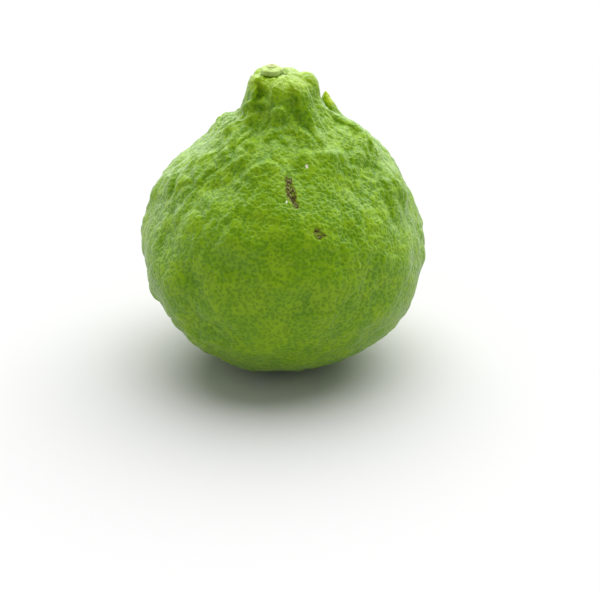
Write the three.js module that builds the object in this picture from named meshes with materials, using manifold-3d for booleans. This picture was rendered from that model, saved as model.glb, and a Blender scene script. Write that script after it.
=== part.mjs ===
// A bergamot orange as picked, standing on its blossom end with the necked stalk end up.
// Millimetres, +Z up. The origin is the centre of the small flat that the fruit stands on.
// The rind is one closed body: a revolved outline, pushed in and out by the grooves of the
// neck, the lumps of the shoulders and a slow waviness. The calyx button, the woody star
// left where the stalk was clipped, sits in a shallow seat off the middle of the crown.
import * as THREE from "three";
import { mergeVertices } from "three/addons/utils/BufferGeometryUtils.js";
import Module from "manifold-3d";

// Driving dimensions
const bodyRadius = 35; // widest ring of the body
const fruitHeight = 76.5; // resting flat to crown
const restRadius = 9; // the flat under the blossom end
const neckRadius = 9.4; // half the width of the neck
const neckFoot = 62; // height where the shoulders turn up into the neck
const crownSlope = 0.085; // the crown rises towards -X
const columns = 84; // facets round the fruit
const rows = 50; // facets from flat to crown

// The button and its seat in the crown
const buttonRadius = 2.9;
const buttonThickness = 1.1;
const stubRadius = 1.2; // cut end of the stalk
const stubHeight = 0.9;
const buttonPlace = new THREE.Vector2(-3, 1.2); // off the axis, to the left and back
const seatDepth = 1.1; // below the crown
const seatClearance = 0.3;

// Half of the fruit's outline as [radius, height], from the edge of the flat to the crown
const outline = [
  [restRadius, 0],
  [0.56 * bodyRadius, 4.8],
  [0.81 * bodyRadius, 12.5],
  [0.96 * bodyRadius, 22],
  [bodyRadius, 31.5],
  [0.935 * bodyRadius, 42],
  [0.81 * bodyRadius, 50],
  [0.66 * bodyRadius, 56],
  [0.5 * bodyRadius, neckFoot - 1.2],
  [1.3 * neckRadius, neckFoot + 3],
  [1.06 * neckRadius, neckFoot + 7.4],
  [0.98 * neckRadius, fruitHeight - 3.4],
  [0.8 * neckRadius, fruitHeight - 0.8],
  [0.4 * neckRadius, fruitHeight],
];

// Grooves down the neck: where, how wide, how deep and how far down they fade out.
// Azimuths are in degrees round the axis, from +X towards +Y, so -90 faces the front.
const grooves = [
  { azimuth: -128, width: 11, depth: 1.9, foot: 64 },
  { azimuth: -80, width: 10, depth: 0.9, foot: 53 },
  { azimuth: -22, width: 13, depth: 0.9, foot: 61 },
  { azimuth: 38, width: 15, depth: 1.5, foot: 60 },
  { azimuth: 104, width: 16, depth: 1.3, foot: 57 },
  { azimuth: 163, width: 12, depth: 1.0, foot: 62 },
];

// Lumps of the rind: azimuth in degrees, height, half width round and along it, and rise.
// One is a hollow, with a rise below zero.
const lumps = [
  { azimuth: -141, height: 62, round: 4.2, along: 3.4, rise: 1.1 },
  { azimuth: -112, height: 60.5, round: 3.6, along: 3.8, rise: 1.2 },
  { azimuth: -92, height: 57.5, round: 4.4, along: 4.2, rise: 1.3 },
  { azimuth: -50, height: 61, round: 4.4, along: 4.2, rise: 1.1 },
  { azimuth: -4, height: 59.5, round: 8, along: 5, rise: 2.1 },
  { azimuth: 47, height: 61.5, round: 3, along: 3, rise: 2.6 },
  { azimuth: 98, height: 60, round: 5.2, along: 4, rise: 1.4 },
  { azimuth: 140, height: 59.5, round: 5.4, along: 4.4, rise: 1.0 },
  { azimuth: 178, height: 58, round: 9, along: 6, rise: -1.3 },
  { azimuth: -160, height: 51, round: 6.5, along: 4, rise: 0.9 },
  { azimuth: -105, height: 45, round: 8, along: 5, rise: 0.9 },
  { azimuth: -62, height: 47, round: 8, along: 5, rise: 0.8 },
  { azimuth: -20, height: 50, round: 6.5, along: 5, rise: 1.0 },
  { azimuth: 14, height: 33, round: 6, along: 6, rise: 1.2 },
  { azimuth: 35, height: 47, round: 7, along: 5, rise: 1.1 },
  { azimuth: 84, height: 44, round: 8, along: 6, rise: 1.2 },
  { azimuth: 128, height: 50, round: 7, along: 5, rise: 1.0 },
  { azimuth: 172, height: 35, round: 7, along: 6, rise: 1.0 },
  { azimuth: 60, height: 24, round: 8, along: 6, rise: 0.9 },
  { azimuth: 115, height: 30, round: 8, along: 7, rise: 1.0 },
  { azimuth: -145, height: 27, round: 8, along: 6, rise: 0.8 },
  { azimuth: -40, height: 22, round: 8, along: 6, rise: 0.8 },
];

// Share of a slow rise from 0 at low to 1 at high
const ramp = (value, low, high) => THREE.MathUtils.smoothstep(value, low, high);

// How far the rind stands off the revolved outline at a point of it
function rindOffset(point) {
  const azimuth = Math.atan2(point.y, point.x);
  const radius = Math.hypot(point.x, point.y);
  const away = (degrees) => {
    const turn = azimuth - THREE.MathUtils.degToRad(degrees);
    return Math.atan2(Math.sin(turn), Math.cos(turn));
  };
  let offset = 0;
  for (const groove of grooves) {
    const across = away(groove.azimuth) / THREE.MathUtils.degToRad(groove.width);
    const down = ramp(point.z, groove.foot - 4, groove.foot + 5);
    offset -= groove.depth * Math.exp(-across * across) * down;
  }
  for (const lump of lumps) {
    const round = (away(lump.azimuth) * radius) / lump.round;
    const along = (point.z - lump.height) / lump.along;
    offset += lump.rise * Math.exp(-round * round - along * along);
  }
  const waves =
    0.35 * Math.sin(2 * azimuth + 0.5) +
    0.25 * Math.sin(3 * azimuth + 0.12 * point.z) +
    0.22 * Math.sin(5 * azimuth - 0.16 * point.z);
  const middle = ramp(point.z, 4, 20) * (1 - ramp(point.z, 48, 60));
  // the crown's middle and the resting flat stay as revolved
  return (offset + waves * middle) * ramp(radius, 2, 8) * ramp(point.z, 0, 7);
}

// The revolved outline as a geometry standing up +Z
function revolve(profile, facets) {
  return new THREE.LatheGeometry(profile, facets).rotateX(Math.PI / 2);
}

function rindGeometry() {
  const curve = new THREE.SplineCurve(outline.map(([r, z]) => new THREE.Vector2(r, z)));
  const profile = [
    new THREE.Vector2(0, 0),
    ...curve.getSpacedPoints(rows),
    new THREE.Vector2(0, fruitHeight),
  ];
  const geometry = revolve(profile, columns);
  const { position, normal } = geometry.attributes;
  const point = new THREE.Vector3();
  const outward = new THREE.Vector3();
  for (let i = 0; i < position.count; i++) {
    point.fromBufferAttribute(position, i);
    outward.fromBufferAttribute(normal, i);
    point.addScaledVector(outward, rindOffset(point));
    point.z -= crownSlope * point.x * ramp(point.z, neckFoot + 6, fruitHeight);
    position.setXYZ(i, point.x, point.y, point.z);
  }
  return geometry;
}

// The button: a thin star of five blunt sepals with the round stub of the stalk on it
function buttonGeometry() {
  const top = buttonThickness;
  const profile = [
    [0, 0],
    [0.8 * buttonRadius, 0],
    [buttonRadius, 0.45 * top],
    [0.85 * buttonRadius, 0.85 * top],
    [1.35 * stubRadius, top],
    [stubRadius, top + 0.25 * stubHeight],
    [0.92 * stubRadius, top + stubHeight],
    [0, top + stubHeight],
  ].map(([r, z]) => new THREE.Vector2(r, z));
  const geometry = revolve(profile, 40);
  const { position } = geometry.attributes;
  for (let i = 0; i < position.count; i++) {
    const x = position.getX(i);
    const y = position.getY(i);
    const radius = Math.hypot(x, y);
    const star = 1 + 0.1 * Math.cos(5 * Math.atan2(y, x)) * ramp(radius, stubRadius, buttonRadius);
    position.setXYZ(i, x * star, y * star, position.getZ(i));
  }
  return geometry;
}

const wasm = await Module();
wasm.setup();

function toSolid(geometry) {
  const bare = geometry.clone();
  bare.deleteAttribute("normal");
  bare.deleteAttribute("uv");
  const merged = mergeVertices(bare, 1e-3);
  return new wasm.Manifold(
    new wasm.Mesh({
      numProp: 3,
      vertProperties: merged.attributes.position.array,
      triVerts: new Uint32Array(merged.index.array),
    }),
  );
}

function toGeometry(solid) {
  const { vertProperties, triVerts } = solid.getMesh();
  const geometry = new THREE.BufferGeometry();
  geometry.setAttribute("position", new THREE.BufferAttribute(vertProperties, 3));
  geometry.setIndex(new THREE.BufferAttribute(triVerts, 1));
  geometry.computeVertexNormals();
  return geometry;
}

// The seat is a shallow round pocket in the crown, a little wider than the button
const seatFloor = fruitHeight - seatDepth;
const pocketHeight = 4 * seatDepth;
const pocket = new THREE.CylinderGeometry(
  1.1 * buttonRadius + 2 * seatClearance,
  1.1 * buttonRadius + seatClearance,
  pocketHeight,
  40,
)
  .rotateX(Math.PI / 2)
  .translate(buttonPlace.x, buttonPlace.y, seatFloor + pocketHeight / 2);
const rindSolid = toSolid(rindGeometry()).subtract(toSolid(pocket));

const fruit = new THREE.Group();

const rind = new THREE.Mesh(
  toGeometry(rindSolid),
  new THREE.MeshStandardMaterial({ color: 0x6b9c14, roughness: 0.42, metalness: 0 }),
);
rind.name = "fruit";
fruit.add(rind);

const button = new THREE.Mesh(
  buttonGeometry(),
  new THREE.MeshStandardMaterial({ color: 0xa9ad6e, roughness: 0.8, metalness: 0 }),
);
button.name = "calyx_button";
button.position.set(buttonPlace.x, buttonPlace.y, seatFloor + seatClearance);
fruit.add(button);

export default fruit;
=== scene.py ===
import math

import bmesh
import bpy
import numpy as np
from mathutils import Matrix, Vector, noise
from mathutils.bvhtree import BVHTree


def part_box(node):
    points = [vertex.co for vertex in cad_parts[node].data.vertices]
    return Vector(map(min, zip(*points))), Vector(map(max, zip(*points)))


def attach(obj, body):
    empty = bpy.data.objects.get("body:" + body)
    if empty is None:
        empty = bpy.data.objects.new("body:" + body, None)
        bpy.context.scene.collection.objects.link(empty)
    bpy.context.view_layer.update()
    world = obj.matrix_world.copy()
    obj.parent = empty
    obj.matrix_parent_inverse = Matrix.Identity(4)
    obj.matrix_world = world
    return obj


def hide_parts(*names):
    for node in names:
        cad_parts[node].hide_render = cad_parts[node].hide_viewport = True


mm = 0.001  # the frame is in metres, most sizes below are in millimetres
noise.seed_set(2)  # or noise vectors would change from run to run

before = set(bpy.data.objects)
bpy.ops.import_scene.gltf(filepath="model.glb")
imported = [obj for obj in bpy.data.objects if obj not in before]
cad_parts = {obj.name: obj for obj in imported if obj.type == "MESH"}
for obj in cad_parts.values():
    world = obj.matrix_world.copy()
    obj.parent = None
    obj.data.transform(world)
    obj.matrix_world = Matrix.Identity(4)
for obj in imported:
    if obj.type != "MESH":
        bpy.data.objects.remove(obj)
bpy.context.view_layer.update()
fruitLow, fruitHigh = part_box("fruit")
fruitHeight = fruitHigh.z - fruitLow.z
print("frame loaded, fruit", round(fruitHeight / mm, 1), "mm tall")


view = {
    "elevation": 24,  # degrees above the table
    "distance": 0.65,
    "aimHeight": 0.038,
    "lens": 157.2,
    "sensor": 36,
    "turnRight": 0.39,  # degrees, leaves the fruit a little left of the middle
    "turnDown": 1.81,  # and above it
}


def makeCamera():
    data = bpy.data.cameras.new("camera")
    camera = bpy.data.objects.new("camera", data)
    bpy.context.scene.collection.objects.link(camera)
    tilt = math.radians(view["elevation"])
    away = Vector((0, -math.cos(tilt), math.sin(tilt)))
    camera.location = Vector((0, 0, view["aimHeight"])) + away * view["distance"]
    down = tilt + math.radians(view["turnDown"])
    camera.rotation_euler = (math.pi / 2 - down, 0, -math.radians(view["turnRight"]))
    data.sensor_width = view["sensor"]
    data.lens = view["lens"]
    data.clip_end = 20
    bpy.context.scene.camera = camera


studio = {
    "roomLight": 0.40,
    "wallLight": 3.4,  # bright walls behind and beside the fruit, seen in its gloss
    "wallsFrom": -0.5, "wallsTo": 0.4,  # how far forward they reach, -1 to 1 along y
    "backdrop": 1.0,  # how bright the empty room looks past the floor
    "floorTint": (0.68, 0.68, 0.68, 1),
    "lampStrength": 3.85,
    "lampSpread": 84,  # degrees across, so its shadows stay soft
    "lampTilt": (-24, 9, 0),  # degrees off straight down, leaning in from behind
}


def makeLamp():
    data = bpy.data.lights.new("overhead_lamp", "SUN")
    data.energy = studio["lampStrength"]
    data.angle = math.radians(studio["lampSpread"])
    lamp = bpy.data.objects.new("overhead_lamp", data)
    bpy.context.scene.collection.objects.link(lamp)
    lamp.rotation_euler = [math.radians(turn) for turn in studio["lampTilt"]]


def makeRoom():
    world = bpy.data.worlds.new("studio")
    bpy.context.scene.world = world
    world.use_nodes = True
    tree = world.node_tree
    background = tree.nodes["Background"]
    background.inputs["Color"].default_value = (1, 1, 1, 1)
    way = tree.nodes.new("ShaderNodeTexCoord")
    axes = tree.nodes.new("ShaderNodeSeparateXYZ")
    tree.links.new(way.outputs["Generated"], axes.inputs["Vector"])
    walls = tree.nodes.new("ShaderNodeMapRange")  # dim in front of the fruit, bright behind it
    walls.interpolation_type = "SMOOTHSTEP"
    walls.inputs["From Min"].default_value = studio["wallsFrom"]
    walls.inputs["From Max"].default_value = studio["wallsTo"]
    walls.inputs["To Max"].default_value = studio["wallLight"]
    tree.links.new(axes.outputs["Y"], walls.inputs["Value"])
    ray = tree.nodes.new("ShaderNodeLightPath")
    light = tree.nodes.new("ShaderNodeMapRange")
    light.inputs["To Min"].default_value = studio["roomLight"]
    tree.links.new(ray.outputs["Is Glossy Ray"], light.inputs["Value"])
    tree.links.new(walls.outputs["Result"], light.inputs["To Max"])
    strength = tree.nodes.new("ShaderNodeMapRange")
    strength.inputs["To Max"].default_value = studio["backdrop"]
    tree.links.new(ray.outputs["Is Camera Ray"], strength.inputs["Value"])
    tree.links.new(light.outputs["Result"], strength.inputs["To Min"])
    tree.links.new(strength.outputs["Result"], background.inputs["Strength"])


def makeFloor():
    bpy.ops.mesh.primitive_plane_add(size=8)
    floor = bpy.context.object
    floor.name = "floor"
    paper = bpy.data.materials.new("pale_paper")
    paper.use_nodes = True
    shader = paper.node_tree.nodes["Principled BSDF"]
    shader.inputs["Base Color"].default_value = studio["floorTint"]
    shader.inputs["Roughness"].default_value = 0.9
    shader.inputs["Specular IOR Level"].default_value = 0
    floor.data.materials.append(paper)


bpy.context.scene.view_settings.view_transform = "Standard"
makeCamera()
makeRoom()
makeFloor()
makeLamp()
print("camera, lamp and floor placed")


cage = {
    "columns": 104,
    "rows": 58,
    "levels": 2,  # two subdivisions give about 96 thousand four-sided faces
    "bodyCentre": 0.40,  # share of the height where the body's rays start
    "neckCentre": 0.94,  # and where the crown's rays start
    "climbFrom": 0.5,  # part of the way up the outline where rays start to climb
    "climbOver": 0.36,
    "samples": 400,
}


def smoothStep(value, low, high):
    t = np.clip((value - low) / (high - low), 0, 1)
    return t * t * (3 - 2 * t)


def outlineRay(share, azimuth):
    # rays fan out from the body's centre, climb the neck, then fan over the crown
    low = cage["bodyCentre"] * fruitHeight
    high = cage["neckCentre"] * fruitHeight
    climb = smoothStep(share, cage["climbFrom"], cage["climbFrom"] + cage["climbOver"])
    angle = math.pi * (share - 0.5)
    out = math.cos(angle)
    start = Vector((0, 0, low + (high - low) * climb))
    return start, Vector((out * math.cos(azimuth), out * math.sin(azimuth), math.sin(angle)))


def meridian(solid, azimuth):
    shares = np.linspace(0.004, 0.996, cage["samples"])
    line = np.array([tuple(solid.ray_cast(*outlineRay(share, azimuth))[0]) for share in shares])
    steps = np.linalg.norm(np.diff(line, axis=0), axis=1)
    length = np.concatenate([[0], np.cumsum(steps)])
    even = np.linspace(0, length[-1], cage["rows"])
    return np.stack([np.interp(even, length, line[:, k]) for k in range(3)], 1)


def rindCage(solid):
    rows, columns = cage["rows"], cage["columns"]
    rings = [meridian(solid, 2 * math.pi * c / columns) for c in range(columns)]
    mesh = bmesh.new()
    verts = [[mesh.verts.new(rings[c][r]) for c in range(columns)] for r in range(rows)]
    for r in range(rows - 1):
        for c in range(columns):
            d = (c + 1) % columns
            mesh.faces.new((verts[r][c], verts[r][d], verts[r + 1][d], verts[r + 1][c]))
    bottom = mesh.verts.new((0, 0, np.mean([ring[0][2] for ring in rings])))
    top = mesh.verts.new((0, 0, np.mean([ring[-1][2] for ring in rings])))
    for c in range(columns):
        d = (c + 1) % columns
        mesh.faces.new((bottom, verts[0][d], verts[0][c]))
        mesh.faces.new((top, verts[-1][c], verts[-1][d]))
    return mesh


def subdivided(mesh, levels, name):
    data = bpy.data.meshes.new(name)
    mesh.to_mesh(data)
    mesh.free()
    piece = bpy.data.objects.new(name, data)
    bpy.context.scene.collection.objects.link(piece)
    smooth = piece.modifiers.new("smooth", "SUBSURF")
    smooth.levels = levels
    smooth.render_levels = levels
    graph = bpy.context.evaluated_depsgraph_get()
    dense = bpy.data.meshes.new_from_object(piece.evaluated_get(graph))
    piece.modifiers.clear()
    piece.data = dense
    dense.name = name
    return piece


relief = {
    "foldSize": 11.0, "foldRise": 1.3, "foldLean": 2.6,  # slow folds, steeper on the neck's side
    "lumpSize": 5.0, "lumpRise": 0.85,
    "wrinkleRing": 17.0, "wrinkleSize": 3.0, "wrinkleStretch": 0.42, "wrinkleRise": 0.5,
    "pebbleSize": 2.3, "pebbleRise": 0.15,
    "glandSize": 1.3, "glandRise": 0.07,
    "crestGain": 1.35,  # times each crest's own rise
    "sink": 0.35,  # the whole relief is let into the rind by this much
    "restBand": 5,  # height over which it fades in above the table
}

# crest lines as (azimuth in degrees, height in mm), steep on the left of the way along
crests = (
    {
        "path": ((-166, 61.5), (-156, 64.9), (-145, 66.9), (-128, 68.6)),
        "rise": 0.65, "steep": 1.1, "fall": 3.5,
    },
    {"path": ((-166, 67.5), (-151, 70.6), (-138, 71.1)), "rise": 0.8, "steep": 0.8, "fall": 2.0},
    {"path": ((-137, 70.8), (-130, 71.6), (-116, 70.6)), "rise": 0.8, "steep": 0.8, "fall": 2.0},
    {
        "path": ((-114, 67.4), (-104, 70.4), (-95, 70.8), (-86, 70.0), (-79, 67.5)),
        "rise": 0.9, "steep": 0.9, "fall": 3.0,
    },
    {
        "path": ((-118, 63.2), (-104, 65.8), (-92, 66.0), (-82, 65.5)),
        "rise": 0.7, "steep": 1.3, "fall": 3.0,
    },
    {"path": ((-80, 65.2), (-69, 66.0), (-58, 64.6)), "rise": 0.6, "steep": 1.2, "fall": 3.0},
    {"path": ((-136, 61.6), (-122, 63.2), (-106, 63.4)), "rise": 0.45, "steep": 1.0, "fall": 2.5},
    {"path": ((-134, 57.4), (-127, 59.6), (-116, 61.6)), "rise": 0.55, "steep": 1.0, "fall": 4.0},
    {
        "path": ((-122, 55.4), (-113, 59.0), (-103, 60.8), (-95, 60.6), (-86, 57.6)),
        "rise": 0.75, "steep": 0.9, "fall": 6.0,
    },
    {
        "path": ((-86, 60.6), (-79, 60.6), (-70, 61.6), (-57, 61.6), (-46, 61.0), (-39, 58.0)),
        "rise": 0.7, "steep": 1.2, "fall": 6.0,
    },
    {
        "path": ((-23, 71.5), (-16, 68.6), (-4, 65.6), (-8, 62.4), (-11, 60.0), (-14, 57.0), (-18, 53.6)),
        "rise": 0.9, "steep": 1.8, "fall": 4.0,
    },
    {
        "path": ((-17, 54.5), (-19, 51.5), (-15, 48.2), (-8, 44.4)),
        "rise": 0.8, "steep": 2.0, "fall": 4.0,
    },
    {
        "path": ((172, 57.6), (-178, 60.4), (-162, 63.4), (-147, 65.6)),
        "rise": 0.35, "steep": 1.2, "fall": 3.0,
    },
    {"path": ((-163, 54.6), (-158, 57.6), (-149, 59.6)), "rise": 0.6, "steep": 1.2, "fall": 3.0},
    {"path": ((-147, 58.6), (-142, 60.6), (-136, 61.6)), "rise": 0.5, "steep": 1.0, "fall": 2.5},
    {"path": ((-173, 48.0), (-173, 50.4), (-166, 53.0)), "rise": 0.7, "steep": 1.4, "fall": 3.5},
    {"path": ((120, 58.0), (136, 60.6), (152, 58.6)), "rise": 0.7, "steep": 1.2, "fall": 5.0},
    {"path": ((62, 60.0), (80, 62.4), (98, 60.0)), "rise": 0.7, "steep": 1.2, "fall": 5.0},
    {"path": ((96, 50.0), (110, 53.4), (124, 51.0)), "rise": 0.6, "steep": 1.4, "fall": 6.0},
    {"path": ((18, 52.0), (34, 55.0), (50, 52.6)), "rise": 0.6, "steep": 1.4, "fall": 6.0},
)

# grooves as (azimuth, height) along the bottom of each
grooves = (
    {"path": ((-160, 75.9), (-140, 75.0), (-134, 72.8), (-137, 70.9)), "width": 0.8, "depth": 1.5},
    {"path": ((-78, 75.6), (-80, 72.4), (-80, 68.0)), "width": 0.9, "depth": 0.5},
    {"path": ((-72, 74.0), (-73, 69.6), (-66, 67.0), (-53, 65.0)), "width": 1.3, "depth": 0.6},
    {"path": ((-120, 69.0), (-113, 67.0), (-116, 64.0)), "width": 0.9, "depth": 0.5},
    {"path": ((-152, 69.6), (-136, 69.4), (-122, 69.6)), "width": 0.8, "depth": 0.5},
    {"path": ((-30, 75.0), (-27, 71.0), (-30, 66.0)), "width": 0.8, "depth": 0.4},
)

# hollows: azimuth, height, half width across, half length down, depth, where less than 0 swells
hollows = (
    (-133, 61.4, 1.6, 1.4, 0.55), (-153, 60.8, 1.2, 2.2, 0.6), (176, 52.4, 1.2, 3.0, 0.6),
    (-162, 51.0, 1.6, 2.8, 0.6), (-133, 54.2, 2.0, 2.6, 0.5), (-142, 50.5, 2.2, 1.8, 0.5),
    (-14, 64.4, 1.3, 2.2, 0.6), (-17, 58.8, 2.0, 1.6, 0.7), (-29, 56.6, 1.4, 1.8, 0.75),
    (-23, 55.4, 1.0, 1.4, 0.5), (-21, 47.0, 1.4, 3.6, 0.8), (-17, 42.0, 1.6, 3.2, 0.6),
    (-72, 69.5, 1.3, 4.0, 0.6), (-62, 66.0, 1.8, 2.2, 0.5), (-108, 49.5, 4.0, 2.6, 0.5),
    (-60, 47.0, 3.6, 3.0, 0.5), (10, 56.0, 1.5, 3.4, 0.6), (34, 49.0, 2.0, 3.6, 0.6),
    (66, 52.0, 1.8, 4.0, 0.6), (88, 57.0, 1.5, 2.8, 0.6), (108, 45.0, 2.4, 3.6, 0.6),
    (128, 55.0, 1.6, 3.2, 0.6), (150, 49.0, 2.0, 3.8, 0.6), (-8, 36.0, 2.2, 4.0, 0.5),
    (12, 75.3, 3.2, 2.8, -0.95), (-92, 38.5, 3.5, 2.6, 0.45), (-52, 36.0, 3.0, 3.0, 0.4),
    (-150, 40.0, 2.6, 3.4, 0.5),
)

spur = {"azimuth": 45, "height": 63.2, "radius": 2.5, "length": 4.4, "lean": -0.3, "blunt": 0.6}

# scars: way along as (azimuth, height), half width and depth in mm
scars = (
    {"path": ((-86.2, 57.8), (-86.0, 56.9)), "width": 1.1, "depth": 0.3},
    {"path": ((-86.0, 56.2), (-85.2, 54.6)), "width": 1.35, "depth": 0.5},
    {"path": ((-84.8, 54.0), (-83.4, 52.6)), "width": 0.8, "depth": 0.3},
    {"path": ((-75, 47.3), (-74, 46.4)), "width": 1.0, "depth": 0.35},
    {"path": ((-73.2, 46.2), (-71.6, 46.3)), "width": 0.45, "depth": 0.2},
    {"path": ((64, 44.0), (66, 42.5), (67, 40.5)), "width": 0.7, "depth": 0.3},
    {"path": ((171, 37.0), (172, 36.0)), "width": 0.6, "depth": 0.25},
)

# pale dry flecks: azimuth, height, half width in mm
flecks = ((-73, 59.2, 0.42), (-88.3, 53.6, 0.38), (52, 33.0, 0.5), (140, 47.0, 0.4), (-20, 30.0, 0.4))


def onRind(solid, azimuth, height):
    # the rind's point and outward direction at an azimuth in degrees and a height in millimetres
    turn = math.radians(azimuth)
    ray = Vector((math.cos(turn), math.sin(turn), 0))
    point, normal = solid.ray_cast(Vector((0, 0, height * mm)), ray)[:2]
    return np.array(point) / mm, np.array(normal)


def pathOnRind(solid, path, steps=36):
    turns = np.unwrap([math.radians(azimuth) for azimuth, height in path])
    heights = [height for azimuth, height in path]
    marks = np.linspace(0, 1, len(path))
    along = np.linspace(0, 1, steps)
    turnsAlong = np.degrees(np.interp(along, marks, turns))
    heightsAlong = np.interp(along, marks, heights)
    found = [onRind(solid, turn, height) for turn, height in zip(turnsAlong, heightsAlong)]
    points = np.array([point for point, normal in found])
    normals = np.array([normal for point, normal in found])
    for _ in range(3):
        points[1:-1] = 0.25 * points[:-2] + 0.5 * points[1:-1] + 0.25 * points[2:]
    return points, normals


def nearestOnPath(spots, points):
    best = np.full(len(spots), 1e9)
    which = np.zeros(len(spots), int)
    for k, point in enumerate(points):
        away = ((spots - point) ** 2).sum(1)
        closer = away < best
        best[closer] = away[closer]
        which[closer] = k
    return np.sqrt(best), which


def crestRise(spots, solid, crest):
    points, normals = pathOnRind(solid, crest["path"])
    ways = np.gradient(points, axis=0)
    lefts = np.cross(normals, ways)
    lefts /= np.linalg.norm(lefts, axis=1)[:, None]
    away, which = nearestOnPath(spots, points)
    side = ((spots - points[which]) * lefts[which]).sum(1)
    along = which / (len(points) - 1)
    fade = smoothStep(along, 0, 0.3) * (1 - smoothStep(along, 0.7, 1))
    steep = 1 - smoothStep(side, -0.3, crest["steep"])
    gentle = np.exp(-((np.maximum(-side, 0) / crest["fall"]) ** 1.4))
    rise = crest["rise"] * relief["crestGain"]
    return rise * fade * steep * gentle * (away < 4 * crest["fall"])


def grooveRise(spots, solid, groove):
    points = pathOnRind(solid, groove["path"])[0]
    away, which = nearestOnPath(spots, points)
    along = which / (len(points) - 1)
    fade = smoothStep(along, 0, 0.15) * (1 - smoothStep(along, 0.85, 1))
    return -groove["depth"] * fade * np.exp(-((away / groove["width"]) ** 2))


def hollowRise(spots, solid, azimuth, height, width, length, depth):
    centre, normal = onRind(solid, azimuth, height)
    down = -np.array([0, 0, 1.0]) + normal * normal[2]
    down /= np.linalg.norm(down)
    across = np.cross(normal, down)
    offset = spots - centre
    squares = (offset @ across / width) ** 2 + (offset @ down / length) ** 2 + (offset @ normal / 4) ** 2
    return -depth * np.exp(-squares)


def noiseAt(spots, size, seed):
    shift = Vector((seed, seed * 1.7, seed * 0.6))
    return np.array([noise.noise(Vector(spot) / size + shift) for spot in spots])


def warped(spots, size, amount, seed):
    shift = Vector((seed, seed * 1.3, -seed))
    moves = np.array([tuple(noise.noise_vector(Vector(spot) / size + shift)) for spot in spots])
    return spots + amount * moves


def domesAt(spots, size, seed):
    # rounded lumps packed side by side, 1 at each middle and 0 in the creases between
    shift = Vector((seed, -seed, seed * 0.5))
    gaps = np.empty(len(spots))
    for i, spot in enumerate(spots):
        first, second = noise.voronoi(Vector(spot) / size + shift)[0][:2]
        gaps[i] = second - first
    return np.sqrt(np.clip(gaps, 0, 0.9) / 0.9)


def softDomes(spots, size, seed):
    return smoothStep(domesAt(spots, size, seed), -0.15, 1.05)


def rindRise(spots, solid):
    height = spots[:, 2] / (fruitHeight / mm)
    azimuth = np.arctan2(spots[:, 1], spots[:, 0])
    shoulder = smoothStep(height, 0.42, 0.66)
    neck = smoothStep(height, 0.84, 0.9)
    front = np.exp(-(((azimuth + 1.55) / 0.75) ** 2)) * (1 - smoothStep(height, 0.72, 0.82))
    calm = 1 - 0.55 * front

    # warps give a size, an amount and a seed, noises a size and a seed
    bent = warped(spots, 12, 3.0, 3)
    first = noiseAt(bent, relief["foldSize"], 7)
    leaned = bent.copy()
    leaned[:, 2] += relief["foldLean"] * first
    folds = noiseAt(leaned, relief["foldSize"], 7)
    folds = folds * (1 - 0.5 * neck)

    patch = np.clip(0.75 + 0.9 * noiseAt(spots, 19, 13), 0.25, 1.2)
    lumps = softDomes(warped(spots, 5, 2.2, 5), relief["lumpSize"], 11)
    lumps = (lumps - 0.5) * patch * calm * (0.9 + 0.1 * shoulder) * (1 - 0.6 * neck)

    ring = relief["wrinkleRing"]
    upright = spots[:, 2] * relief["wrinkleStretch"]
    radial = np.stack([ring * np.cos(azimuth), ring * np.sin(azimuth), upright], 1)
    radial = radial + 0.45 * (warped(spots, 6, 2.6, 9) - spots)
    wrinkles = np.abs(noiseAt(radial, relief["wrinkleSize"], 17)) * 2 - 0.5
    wrinkles = wrinkles * calm * (0.35 + 0.65 * shoulder) * (1 - neck)

    pebbles = noiseAt(spots, relief["pebbleSize"] / 2, 23)
    glands = noiseAt(spots, relief["glandSize"] / 2, 29)
    total = (
        relief["foldRise"] * folds
        + relief["lumpRise"] * lumps
        + relief["wrinkleRise"] * wrinkles
        + relief["pebbleRise"] * pebbles * (0.6 + 0.4 * shoulder)
        + relief["glandRise"] * glands
    )
    for crest in crests:
        total += crestRise(spots, solid, crest)
    for groove in grooves:
        total += grooveRise(spots, solid, groove)
    for hollow in hollows:
        total += hollowRise(spots, solid, *hollow)
    return total - relief["sink"]


def scarMask(spots, solid, scar):
    points = pathOnRind(solid, scar["path"])[0]
    away = nearestOnPath(spots, points)[0]
    return 1 - smoothStep(away, 0.35 * scar["width"], 1.35 * scar["width"])


def fleckMask(spots, solid, azimuth, height, width):
    centre = onRind(solid, azimuth, height)[0]
    away = np.linalg.norm(spots - centre, axis=1)
    return 1 - smoothStep(away, 0.5 * width, 1.5 * width)


def spurMove(spots, solid):
    root, normal = onRind(solid, spur["azimuth"], spur["height"])
    away = np.linalg.norm(spots - root, axis=1)
    share = np.clip(1 - away / spur["radius"], 0, 1)
    outward = np.array([normal[0], normal[1], 0]) / np.hypot(normal[0], normal[1])
    way = np.array([0, 0, 1.0]) + spur["lean"] * outward
    way /= np.linalg.norm(way)
    reach = spur["length"] * share ** spur["blunt"]
    return reach[:, None] * way, smoothStep(share, 0, 0.45)


def readVectors(collection, key):
    values = np.empty(len(collection) * 3, np.float32)
    collection.foreach_get(key, values)
    return values.reshape(-1, 3).astype(float)


def storeMask(mesh, name, values):
    mesh.attributes.new(name, "FLOAT", "POINT").data.foreach_set("value", values.astype(np.float32))


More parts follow.
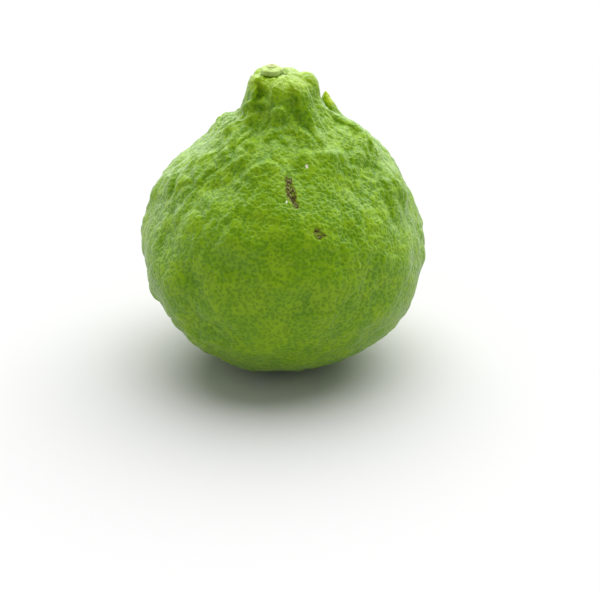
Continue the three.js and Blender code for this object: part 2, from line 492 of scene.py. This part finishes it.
def roughen(piece, solid):
    mesh = piece.data
    spots = readVectors(mesh.vertices, "co") / mm
    normals = readVectors(mesh.vertex_normals, "vector")
    rise = rindRise(spots, solid)
    fadeIn = smoothStep(spots[:, 2], 0, relief["restBand"])
    scarred = np.zeros(len(spots))
    for scar in scars:
        mask = scarMask(spots, solid, scar)
        rise = rise - scar["depth"] * mask * (0.7 + 0.6 * noiseAt(spots, 0.8, 31))
        scarred = np.maximum(scarred, mask)
    flecked = np.zeros(len(spots))
    for fleck in flecks:
        flecked = np.maximum(flecked, fleckMask(spots, solid, *fleck))
    spurStep, spurred = spurMove(spots, solid)
    moved = spots + normals * (rise * fadeIn)[:, None] + spurStep
    moved[:, 2] = np.maximum(moved[:, 2], 0)
    mesh.vertices.foreach_set("co", (moved * mm).astype(np.float32).ravel())
    storeMask(mesh, "rise", rise)
    storeMask(mesh, "scar", scarred)
    storeMask(mesh, "fleck", flecked)
    storeMask(mesh, "spur", spurred)
    # painted highlight: marks the top of the crown, which the rind colour makes paler and yellower
    storeMask(mesh, "crown", smoothStep(spots[:, 2] / (fruitHeight / mm), 0.93, 0.985))
    mesh.update()
    print("relief from", round(rise.min(), 2), "to", round(rise.max(), 2), "mm")


def makeRind():
    solid = BVHTree.FromObject(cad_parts["fruit"], bpy.context.evaluated_depsgraph_get())
    rind = subdivided(rindCage(solid), cage["levels"], "rind_skin")
    roughen(rind, solid)
    for face in rind.data.polygons:
        face.use_smooth = True
    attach(rind, "root")
    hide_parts("fruit")
    return rind


rindLook = {
    "ground": (0.138, 0.295, 0.001, 1),
    # a dark green, used for the painted shade in the rind's hollows and creases and for its random dark
    # speckles
    "deep": (0.094, 0.232, 0.001, 1),
    "network": (0.268, 0.458, 0.003, 1),
    # a pale yellow green, used for the rind's random yellowing and the spur, and as a painted highlight on
    # the crown's top
    "yellowAndHighlight": (0.400, 0.540, 0.002, 1),
    "halo": (0.120, 0.135, 0.004, 1),
    "crust": (0.052, 0.042, 0.002, 1),
    "ash": (0.330, 0.310, 0.130, 1),
    "fleck": (0.750, 0.780, 0.600, 1),
    "glandSize": 0.88 * mm,
    "wobbleSize": 2.2 * mm, "wobble": 1.2 * mm,  # how the gland cells are pushed about
    "cellSoftness": 0.2,
    "wallRange": (0.30, 0.70),  # from a cell's middle to the pale wall round it
    "glow": 0.08, "glowRadius": (0.7, 1.0, 0.2), "glowDepth": 1.0 * mm,  # light under the skin
    "roughness": (0.30, 0.42),
    "shine": 0.22,
    "bloom": 0.15,  # waxy bloom, seen where the rind turns away
    "bloomRoughness": 0.30,
    "glandDepth": 0.10 * mm,
    "grainDepth": 0.05 * mm,
}


def addNode(tree, kind, **values):
    made = tree.nodes.new(kind)
    for name, value in values.items():
        setattr(made, name, value)
    return made


def addNoise(tree, place, size, detail=3):
    grain = addNode(tree, "ShaderNodeTexNoise")
    grain.inputs["Scale"].default_value = 1 / size
    grain.inputs["Detail"].default_value = detail
    tree.links.new(place, grain.inputs["Vector"])
    return grain.outputs["Fac"]


def addRange(tree, value, low, high, toLow=0.0, toHigh=1.0):
    scale = addNode(tree, "ShaderNodeMapRange", interpolation_type="SMOOTHSTEP")
    scale.inputs["From Min"].default_value = low
    scale.inputs["From Max"].default_value = high
    scale.inputs["To Min"].default_value = toLow
    scale.inputs["To Max"].default_value = toHigh
    tree.links.new(value, scale.inputs["Value"])
    return scale.outputs["Result"]


def addMath(tree, operation, first, second):
    sums = addNode(tree, "ShaderNodeMath", operation=operation)
    for socket, value in zip(sums.inputs, (first, second)):
        if isinstance(value, float):
            socket.default_value = value
        else:
            tree.links.new(value, socket)
    return sums.outputs["Value"]


def addMix(tree, share, first, second):
    mix = addNode(tree, "ShaderNodeMix", data_type="RGBA")
    tree.links.new(share, mix.inputs["Factor"])
    for key, colour in (("A", first), ("B", second)):
        if isinstance(colour, tuple):
            mix.inputs[key].default_value = colour
        else:
            tree.links.new(colour, mix.inputs[key])
    return mix.outputs["Result"]


def addMask(tree, name):
    return addNode(tree, "ShaderNodeAttribute", attribute_name=name).outputs["Fac"]


def addBump(tree, height, depth, below=None):
    bump = addNode(tree, "ShaderNodeBump")
    bump.inputs["Distance"].default_value = depth
    tree.links.new(height, bump.inputs["Height"])
    if below:
        tree.links.new(below, bump.inputs["Normal"])
    return bump.outputs["Normal"]


def wobbled(tree, place, size, amount):
    # the object's coordinates, pushed about so that cells come out uneven
    push = addNode(tree, "ShaderNodeTexNoise")
    push.inputs["Scale"].default_value = 1 / size
    push.inputs["Detail"].default_value = 1
    tree.links.new(place, push.inputs["Vector"])
    step = addNode(tree, "ShaderNodeVectorMath", operation="MULTIPLY_ADD")
    tree.links.new(push.outputs["Color"], step.inputs[0])
    step.inputs[1].default_value = (amount, amount, amount)
    tree.links.new(place, step.inputs[2])
    return step.outputs["Vector"]


def rindMaterial():
    look = rindLook
    material = bpy.data.materials.new("green_rind")
    material.use_nodes = True
    tree = material.node_tree
    shader = tree.nodes["Principled BSDF"]
    place = addNode(tree, "ShaderNodeTexCoord").outputs["Object"]
    bent = wobbled(tree, place, look["wobbleSize"], look["wobble"])

    cells = addNode(tree, "ShaderNodeTexVoronoi", feature="SMOOTH_F1")
    cells.inputs["Scale"].default_value = 1 / look["glandSize"]
    cells.inputs["Smoothness"].default_value = look["cellSoftness"]
    tree.links.new(bent, cells.inputs["Vector"])
    wall = addRange(tree, cells.outputs["Distance"], *look["wallRange"])

    slow = addNoise(tree, place, 16 * mm, 3)
    middle = addNoise(tree, place, 5 * mm, 4)
    fine = addNoise(tree, place, 0.6 * mm, 3)
    rise = addRange(tree, addMask(tree, "rise"), -1.6, 0.6)

    # painted shade: by the relief's height, the colour runs from the dark green in low hollows and creases
    # to the ground green on the rises, with a slow random change on top
    shade = addMath(tree, "MULTIPLY", rise, addRange(tree, slow, 0.3, 0.65, 0.85, 1.1))
    colour = addMix(tree, shade, look["deep"], look["ground"])
    yellowing = addMath(tree, "MULTIPLY", addRange(tree, middle, 0.42, 0.72), 0.2)
    colour = addMix(tree, yellowing, colour, look["yellowAndHighlight"])
    lineShare = addMath(tree, "MULTIPLY", wall, addRange(tree, middle, 0.25, 0.7, 0.40, 0.75))
    colour = addMix(tree, lineShare, colour, look["network"])
    speckle = addRange(tree, fine, 0.35, 0.75, 0.0, 0.15)
    colour = addMix(tree, speckle, colour, look["deep"])
    colour = addMix(tree, addMask(tree, "spur"), colour, look["yellowAndHighlight"])
    # painted highlight: the top of the crown is coloured paler and yellower
    colour = addMix(tree, addMath(tree, "MULTIPLY", addMask(tree, "crown"), 0.3), colour, look["yellowAndHighlight"])

    flake = addNoise(tree, place, 0.7 * mm, 3)
    scar = addMask(tree, "scar")
    ragged = addMath(tree, "MULTIPLY", scar, addRange(tree, flake, 0.3, 0.7, 0.3, 1.7))
    haloShare = addRange(tree, ragged, 0.05, 0.55, 0.0, 0.8)
    colour = addMix(tree, haloShare, colour, look["halo"])
    scarShare = addRange(tree, ragged, 0.55, 0.95)
    ashShare = addRange(tree, addNoise(tree, place, 0.6 * mm, 1), 0.56, 0.68)
    crust = addMix(tree, ashShare, look["crust"], look["ash"])
    colour = addMix(tree, scarShare, colour, crust)
    colour = addMix(tree, addRange(tree, addMask(tree, "fleck"), 0.4, 0.7), colour, look["fleck"])
    tree.links.new(colour, shader.inputs["Base Color"])

    low, high = look["roughness"]
    gloss = addRange(tree, middle, 0.3, 0.7, low, high)
    gloss = addMath(tree, "ADD", gloss, addMath(tree, "MULTIPLY", scarShare, 0.35))
    tree.links.new(gloss, shader.inputs["Roughness"])
    shader.inputs["Specular IOR Level"].default_value = look["shine"]
    shader.inputs["Sheen Weight"].default_value = look["bloom"]
    shader.inputs["Sheen Roughness"].default_value = look["bloomRoughness"]
    shader.inputs["Subsurface Weight"].default_value = look["glow"]
    shader.inputs["Subsurface Radius"].default_value = look["glowRadius"]
    shader.inputs["Subsurface Scale"].default_value = look["glowDepth"]

    normal = addBump(tree, wall, look["glandDepth"])
    normal = addBump(tree, fine, look["grainDepth"], normal)
    tree.links.new(normal, shader.inputs["Normal"])
    return material


rindSkin = makeRind()
rindSkin.data.materials.append(rindMaterial())
print("rind made with", len(rindSkin.data.polygons), "faces")


calyx = {
    "lobes": 5,
    "lobeDepth": 0.16,  # how far the notches between the lobes cut in, as a share of the radius
    "around": 120,
    "rings": 26,
    "stub": 0.40,  # the cut stalk's radius as a share of the button's
    "curl": 0.35,  # millimetres that the lobe tips turn up
}

calyxLook = {
    # the calyx's own pale green, made lighter still as a painted highlight
    "sepalWithHighlight": (0.420, 0.580, 0.140, 1),
    "rim": (0.340, 0.460, 0.095, 1),
    "wood": (0.420, 0.500, 0.160, 1),
    "pith": (0.220, 0.200, 0.060, 1),
    "roughness": (0.45, 0.70),
}


def calyxHeight(share, turn, thick, stubRise):
    # height over the button's foot, in millimetres, at a share of its radius
    lobe = 0.5 + 0.5 * math.cos(calyx["lobes"] * turn)
    body = thick * (1.15 - 0.6 * share ** 2) + calyx["curl"] * lobe * max(share - 0.55, 0)
    edge = 1 - float(smoothStep(share, 0.86, 1.0)) * 0.6
    wall = 1 - float(smoothStep(share, calyx["stub"] - 0.05, calyx["stub"] + 0.05))
    hollow = 0.18 * (1 - float(smoothStep(share, 0, calyx["stub"] * 0.8)))
    spot = Vector((share * math.cos(turn), share * math.sin(turn), 0))
    rough = 0.09 * noise.noise(spot * 9) + 0.05 * noise.noise(spot * 22)
    return (body * edge + rough) * (1 - wall) + (thick + stubRise - hollow + rough) * wall


def makeCalyx():
    low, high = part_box("calyx_button")
    centre = (low + high) / 2
    radius = min(high.x - low.x, high.y - low.y) / 2
    tall = (high.z - low.z) / mm
    thick = tall * 0.78
    around, rings = calyx["around"], calyx["rings"]
    mesh = bmesh.new()
    middle = mesh.verts.new((centre.x, centre.y, low.z + calyxHeight(0, 0, thick, tall - thick) * mm))
    loops = []
    for r in range(1, rings + 1):
        share = r / rings
        loop = []
        for k in range(around):
            turn = 2 * math.pi * k / around
            notch = 1 - calyx["lobeDepth"] * share ** 3 * (0.5 - 0.5 * math.cos(calyx["lobes"] * turn)) ** 2
            reach = radius * share * notch
            rise = calyxHeight(share, turn, thick, tall - thick) * mm
            place = (centre.x + reach * math.cos(turn), centre.y + reach * math.sin(turn), low.z + rise)
            loop.append(mesh.verts.new(place))
        loops.append(loop)
    foot = [mesh.verts.new((v.co.x, v.co.y, low.z)) for v in loops[-1]]
    loops.append(foot)
    under = mesh.verts.new((centre.x, centre.y, low.z))
    for k in range(around):
        n = (k + 1) % around
        mesh.faces.new((middle, loops[0][k], loops[0][n]))
        mesh.faces.new((under, foot[n], foot[k]))
        for inner, outer in zip(loops, loops[1:]):
            mesh.faces.new((inner[k], outer[k], outer[n], inner[n]))
    data = bpy.data.meshes.new("calyx_star")
    mesh.to_mesh(data)
    mesh.free()
    star = bpy.data.objects.new("calyx_star", data)
    bpy.context.scene.collection.objects.link(star)
    for face in data.polygons:
        face.use_smooth = True
    spots = (readVectors(data.vertices, "co") - np.array(centre)) / radius
    storeMask(data, "reach", np.hypot(spots[:, 0], spots[:, 1]))
    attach(star, "root")
    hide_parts("calyx_button")
    return star


def calyxMaterial():
    look = calyxLook
    material = bpy.data.materials.new("dry_calyx")
    material.use_nodes = True
    tree = material.node_tree
    shader = tree.nodes["Principled BSDF"]
    place = addNode(tree, "ShaderNodeTexCoord").outputs["Object"]
    reach = addMask(tree, "reach")
    grain = addNoise(tree, place, 0.5 * mm, 4)
    spread = addMath(tree, "ADD", reach, addRange(tree, grain, 0.3, 0.7, -0.12, 0.12))
    # the lobes in a pale green that is partly their own colour and partly painted highlight, going darker
    # at the rim
    colour = addMix(tree, addRange(tree, spread, 0.72, 1.0), look["sepalWithHighlight"], look["rim"])
    stub = addRange(tree, spread, calyx["stub"] - 0.04, calyx["stub"] + 0.06, 1.0, 0.0)
    cut = addMix(tree, addRange(tree, spread, 0.05, 0.2), look["pith"], look["wood"])
    colour = addMix(tree, stub, colour, cut)
    colour = addMix(tree, addRange(tree, grain, 0.5, 0.8, 0.0, 0.4), colour, look["rim"])
    tree.links.new(colour, shader.inputs["Base Color"])
    tree.links.new(addRange(tree, grain, 0.3, 0.7, *look["roughness"]), shader.inputs["Roughness"])
    tree.links.new(addBump(tree, grain, 0.06 * mm), shader.inputs["Normal"])
    return material


calyxStar = makeCalyx()
calyxStar.data.materials.append(calyxMaterial())
print("calyx button made with", len(calyxStar.data.polygons), "faces")
